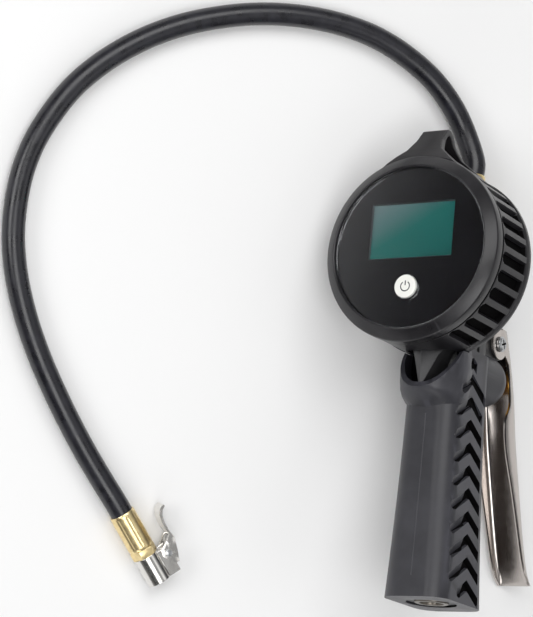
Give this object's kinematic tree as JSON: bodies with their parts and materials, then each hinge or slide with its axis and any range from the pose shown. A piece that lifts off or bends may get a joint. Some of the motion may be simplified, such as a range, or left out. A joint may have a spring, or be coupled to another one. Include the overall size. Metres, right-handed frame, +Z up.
{
  "type": "tyre inflator with gauge",
  "caption": "Hand-held tyre inflator with a round digital gauge in a rubber boot, a pistol grip with a squeeze lever, and a short hose ending in a clip-on chuck.",
  "frame": {"origin": "on the table under the middle of the tool, hose and chuck left out", "axes": "+Z up from the table; +Y along the handle towards the gauge, laid on the table; +X completes the right-handed set"},
  "size_m": [0.294, 0.2871, 0.093],
  "materials": {
    "body_plastic": "moulded black nylon",
    "grip_rubber": "satin moulded rubber",
    "boot_rubber": "satin moulded rubber",
    "case_plastic": "fine moulded texture",
    "zinc_steel": "bright zinc plating",
    "cell_steel": "brushed nickel",
    "board_laminate": "solder mask",
    "display_glass": "teal display",
    "dial_gloss": "gloss black",
    "lens_clear": "clear moulded",
    "button_white": "gloss white",
    "brass": "turned brass",
    "spring_steel": "drawn wire",
    "chrome_steel": "bright chrome plate",
    "hose_rubber": "smooth extruded rubber",
    "seal_rubber": "moulded rubber"
  },
  "bodies": {
    "tool": {"core_body": "body_plastic", "grip_tube": "body_plastic", "hanging_loop": "boot_rubber", "grip_sleeve": "grip_rubber", "gauge_boot": "boot_rubber", "gauge_case": "case_plastic", "case_back": "case_plastic", "case_screws": "zinc_steel", "battery_door": "case_plastic", "coin_cell": "cell_steel", "circuit_board": "board_laminate", "display_module": "display_glass", "button_switch": "case_plastic", "dial_plate": "dial_gloss", "lens": "lens_clear", "pressure_sensor": "brass", "inlet_bushing": "zinc_steel", "valve_gland": "brass", "valve_seat": "brass", "valve_spring": "spring_steel", "pivot_screw": "zinc_steel", "pivot_nut": "zinc_steel", "hose_fitting": "brass", "upper_ferrule": "brass", "hose": "hose_rubber", "lower_ferrule": "brass", "chuck_nipple": "brass", "chuck_body": "chrome_steel", "chuck_seal": "seal_rubber", "clip_pin": "zinc_steel", "clip_spring": "spring_steel"},
    "button": {"power_button": "button_white"},
    "valve": {"valve_stem": "brass"},
    "trigger": {"trigger_lever": "chrome_steel"},
    "clip": {"chuck_clip": "chrome_steel"}
  },
  "joints": [
    {"name": "trigger_pivot", "type": "hinge", "parent": "tool", "child": "trigger", "pos_m": [0.02255, 0.01598, 0.01372], "axis": [-0.6284, -0.1801, -0.7567], "range_deg": [0, 12], "stiffness_Nm_per_rad": 4, "springref_deg": -17.19},
    {"name": "valve_slide", "type": "slide", "parent": "tool", "child": "valve", "axis": [-0.7779, 0.1455, 0.6113], "range_m": [0, 0.0039], "deforming": ["valve_spring"]},
    {"name": "button_press", "type": "slide", "parent": "tool", "child": "button", "axis": [0.7779, -0.1455, -0.6113], "range_m": [0, 0.0006], "stiffness_N_per_m": 1500, "springref_m": -0.0008},
    {"name": "clip_hinge", "type": "hinge", "parent": "tool", "child": "clip", "pos_m": [-0.11806, -0.1071, 0.0062], "axis": [0, 0, 1], "range_deg": [0, 20], "stiffness_Nm_per_rad": 0.3, "springref_deg": -17.19}
  ],
  "couplings": [
    {"joint": "valve_slide", "follows": "trigger_pivot", "m_per_rad": 0.0186}
  ]
}
